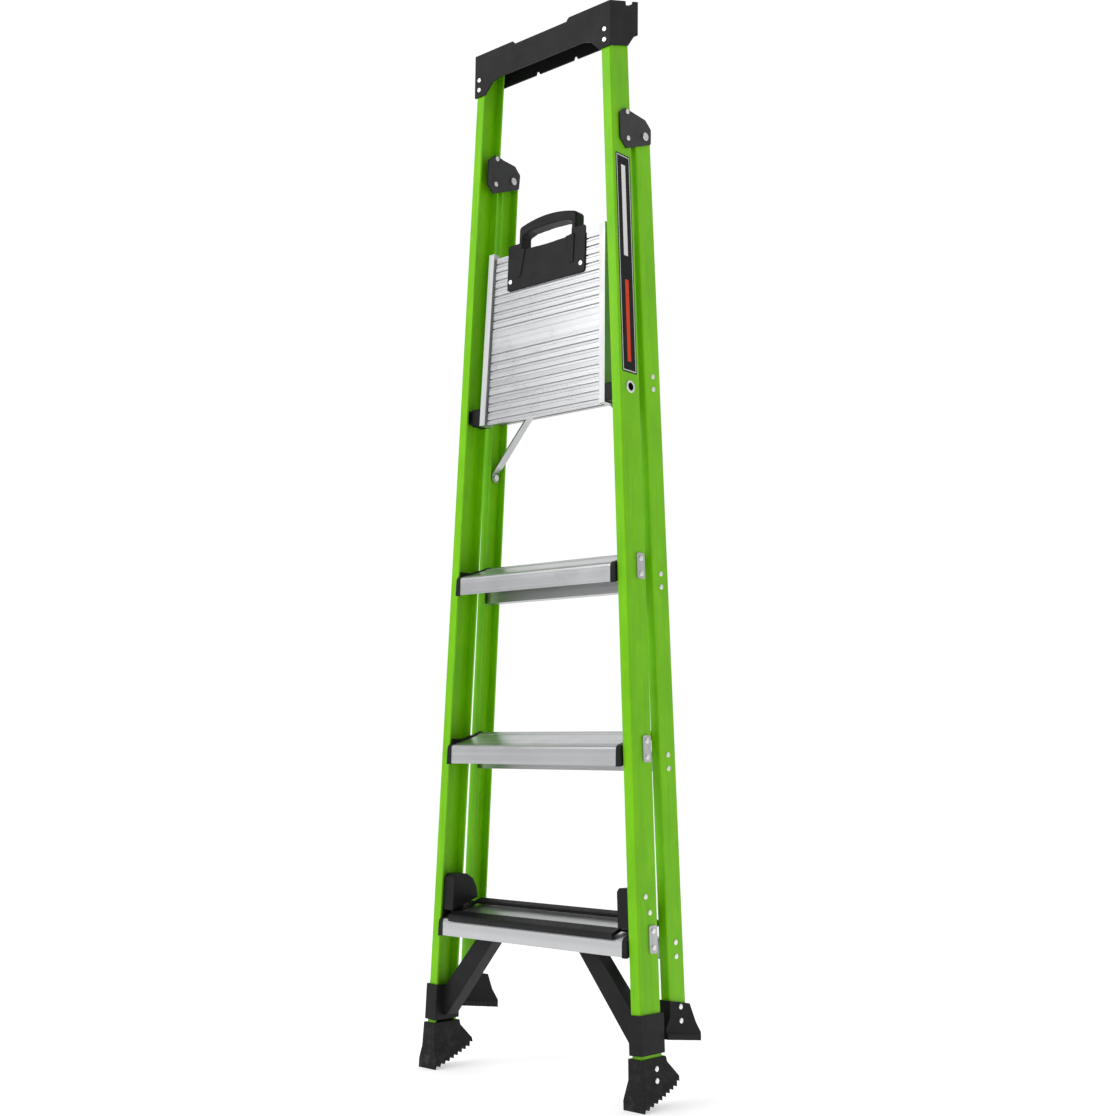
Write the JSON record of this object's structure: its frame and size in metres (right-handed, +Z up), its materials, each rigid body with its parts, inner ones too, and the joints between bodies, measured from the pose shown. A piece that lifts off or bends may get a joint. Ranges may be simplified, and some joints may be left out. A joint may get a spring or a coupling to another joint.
{
  "type": "platform stepladder",
  "caption": "Folded fibreglass platform stepladder with flat treads, a fold-down ribbed platform with a carrying handle, a tray top cap and splayed feet.",
  "frame": {"origin": "on the floor, in the middle of the folded ladder's bounding box", "axes": "+X to the climber's right along the treads, +Y away from the climber towards the rear legs, +Z up"},
  "size_m": [0.518, 0.1576, 1.907],
  "materials": {
    "fibreglass": "pultruded, semi-gloss",
    "deck_aluminium": "extruded, ribbed",
    "side_rail_aluminium": "extruded, satin",
    "tread_aluminium": "extruded, satin",
    "plate_aluminium": "satin",
    "rivet_aluminium": "bright",
    "brace_aluminium": "mill finish",
    "strut_aluminium": "mill finish",
    "black_plastic": "fine moulded grain",
    "cap_plastic": "fine moulded grain",
    "black_rubber": "moulded",
    "black_steel": "powder coated",
    "bright_steel": "zinc plated",
    "label_film": "printed film"
  },
  "bodies": {
    "front_frame": {"corner_brace_left": "black_plastic", "corner_brace_right": "black_plastic", "cue_housing_left": "black_plastic", "cue_housing_right": "black_plastic", "cue_rivets": "rivet_aluminium", "front_foot_left": "black_rubber", "front_foot_right": "black_rubber", "front_foot_rivets": "rivet_aluminium", "front_rail_left": "fibreglass", "front_rail_right": "fibreglass", "hinge_pin_left": "bright_steel", "hinge_pin_right": "bright_steel", "hinge_plate_inner_left": "black_steel", "hinge_plate_inner_right": "black_steel", "hinge_plate_outer_left": "black_steel", "hinge_plate_outer_right": "black_steel", "hinge_rivets": "rivet_aluminium", "pivot_eyelet_left": "bright_steel", "pivot_eyelet_right": "bright_steel", "rail_label": "label_film", "top_cap": "cap_plastic", "top_cap_rivets": "rivet_aluminium", "tread_1": "tread_aluminium", "tread_1_end_cap_left": "black_plastic", "tread_1_end_cap_right": "black_plastic", "tread_2": "tread_aluminium", "tread_2_end_cap_left": "black_plastic", "tread_2_end_cap_right": "black_plastic", "tread_3": "tread_aluminium", "tread_3_end_cap_left": "black_plastic", "tread_3_end_cap_right": "black_plastic", "tread_plates_left": "plate_aluminium", "tread_plates_right": "plate_aluminium", "tread_rivets": "rivet_aluminium"},
    "rear_frame": {"rear_brace_1": "brace_aluminium", "rear_brace_2": "brace_aluminium", "rear_brace_3": "brace_aluminium", "rear_brace_4": "brace_aluminium", "rear_brace_rivets": "rivet_aluminium", "rear_foot_left": "black_plastic", "rear_foot_pad_left": "black_rubber", "rear_foot_pad_right": "black_rubber", "rear_foot_right": "black_plastic", "rear_foot_rivets": "rivet_aluminium", "rear_rail_left": "fibreglass", "rear_rail_right": "fibreglass", "strut_pins": "bright_steel"},
    "platform": {"handle_rivets": "rivet_aluminium", "platform_handle": "black_plastic", "platform_pivot_block_left": "black_plastic", "platform_pivot_block_right": "black_plastic", "platform_plank_front": "deck_aluminium", "platform_plank_rear": "deck_aluminium", "platform_side_rail_left": "side_rail_aluminium", "platform_side_rail_right": "side_rail_aluminium", "strut_bracket": "strut_aluminium"},
    "platform_struts": {"strut_left": "strut_aluminium", "strut_right": "strut_aluminium"},
    "cue": {"cue_pad": "black_plastic", "cue_springs": "bright_steel"}
  },
  "joints": [
    {"name": "rear_fold", "type": "hinge", "parent": "front_frame", "child": "rear_frame", "pos_m": [0, 0.0163, 1.6524], "axis": [1, 0, 0], "range_deg": [0, 26]},
    {"name": "platform_fold", "type": "hinge", "parent": "front_frame", "child": "platform", "pos_m": [0, -0.0437, 1.18], "axis": [-1, 0, 0], "range_deg": [0, 70.03]},
    {"name": "strut_swing", "type": "hinge", "parent": "rear_frame", "child": "platform_struts", "pos_m": [0, 0.0268, 1.077], "axis": [1, 0, 0], "range_deg": [0, 53.06]},
    {"name": "cue_press", "type": "slide", "parent": "front_frame", "child": "cue", "axis": [0, 0.3155, -0.9489], "range_m": [0, 0.003], "stiffness_N_per_m": 600, "springref_m": -0.004, "deforming": ["cue_springs"]}
  ],
  "couplings": [
    {"joint": "platform_fold", "follows": "rear_fold", "ratio": 2.6926},
    {"joint": "strut_swing", "follows": "rear_fold", "ratio": 2.0401}
  ]
}
